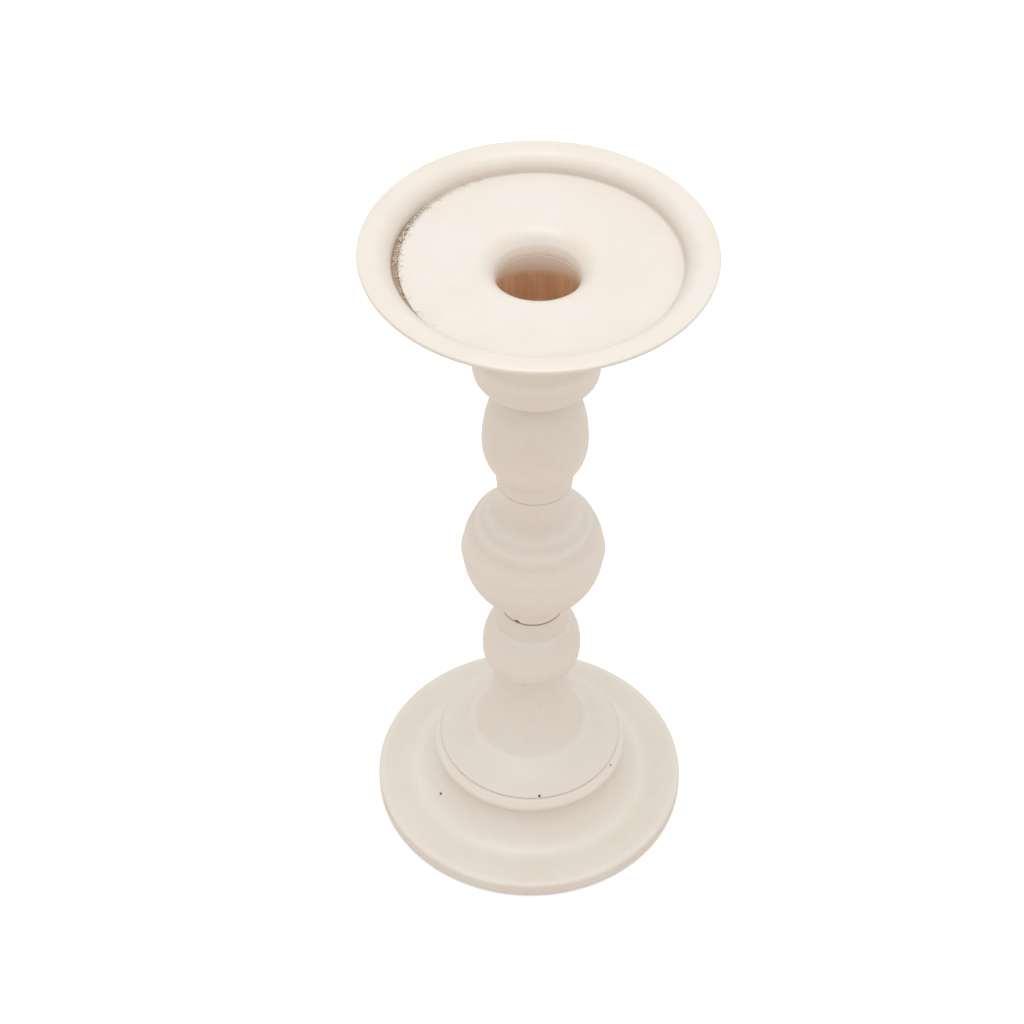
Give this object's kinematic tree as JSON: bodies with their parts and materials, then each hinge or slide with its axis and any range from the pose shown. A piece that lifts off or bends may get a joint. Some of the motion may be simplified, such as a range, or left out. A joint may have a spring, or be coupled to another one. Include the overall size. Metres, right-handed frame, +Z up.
{
  "type": "candlestick",
  "caption": "Turned and painted wooden candlestick: a stepped round foot, a stem of stacked balls and necks, and a wide dished drip pan round a blind socket for a dinner candle.",
  "frame": {"origin": "centre of the felt's underside, on the turning axis, on the surface that the candlestick stands on", "axes": "+Z up along the turning axis; the piece is round, so +X and +Y are any two level directions"},
  "size_m": [0.1014, 0.1014, 0.2287],
  "materials": {
    "cream_paint": "satin cream paint on turned wood, bare brown wood inside the candle socket",
    "dowel_wood": "bare fluted beech",
    "screw_steel": "zinc-plated wood screw",
    "felt": "pressed wool felt"
  },
  "bodies": {
    "root": {"felt_pad": "felt", "foot": "cream_paint", "pedestal": "cream_paint", "lower_ball": "cream_paint", "middle_ball": "cream_paint", "upper_bulb": "cream_paint", "socket_cup": "cream_paint", "pan": "cream_paint", "foot_screw": "screw_steel", "long_dowel": "dowel_wood", "middle_dowel": "dowel_wood", "cup_dowel": "dowel_wood"}
  },
  "joints": []
}
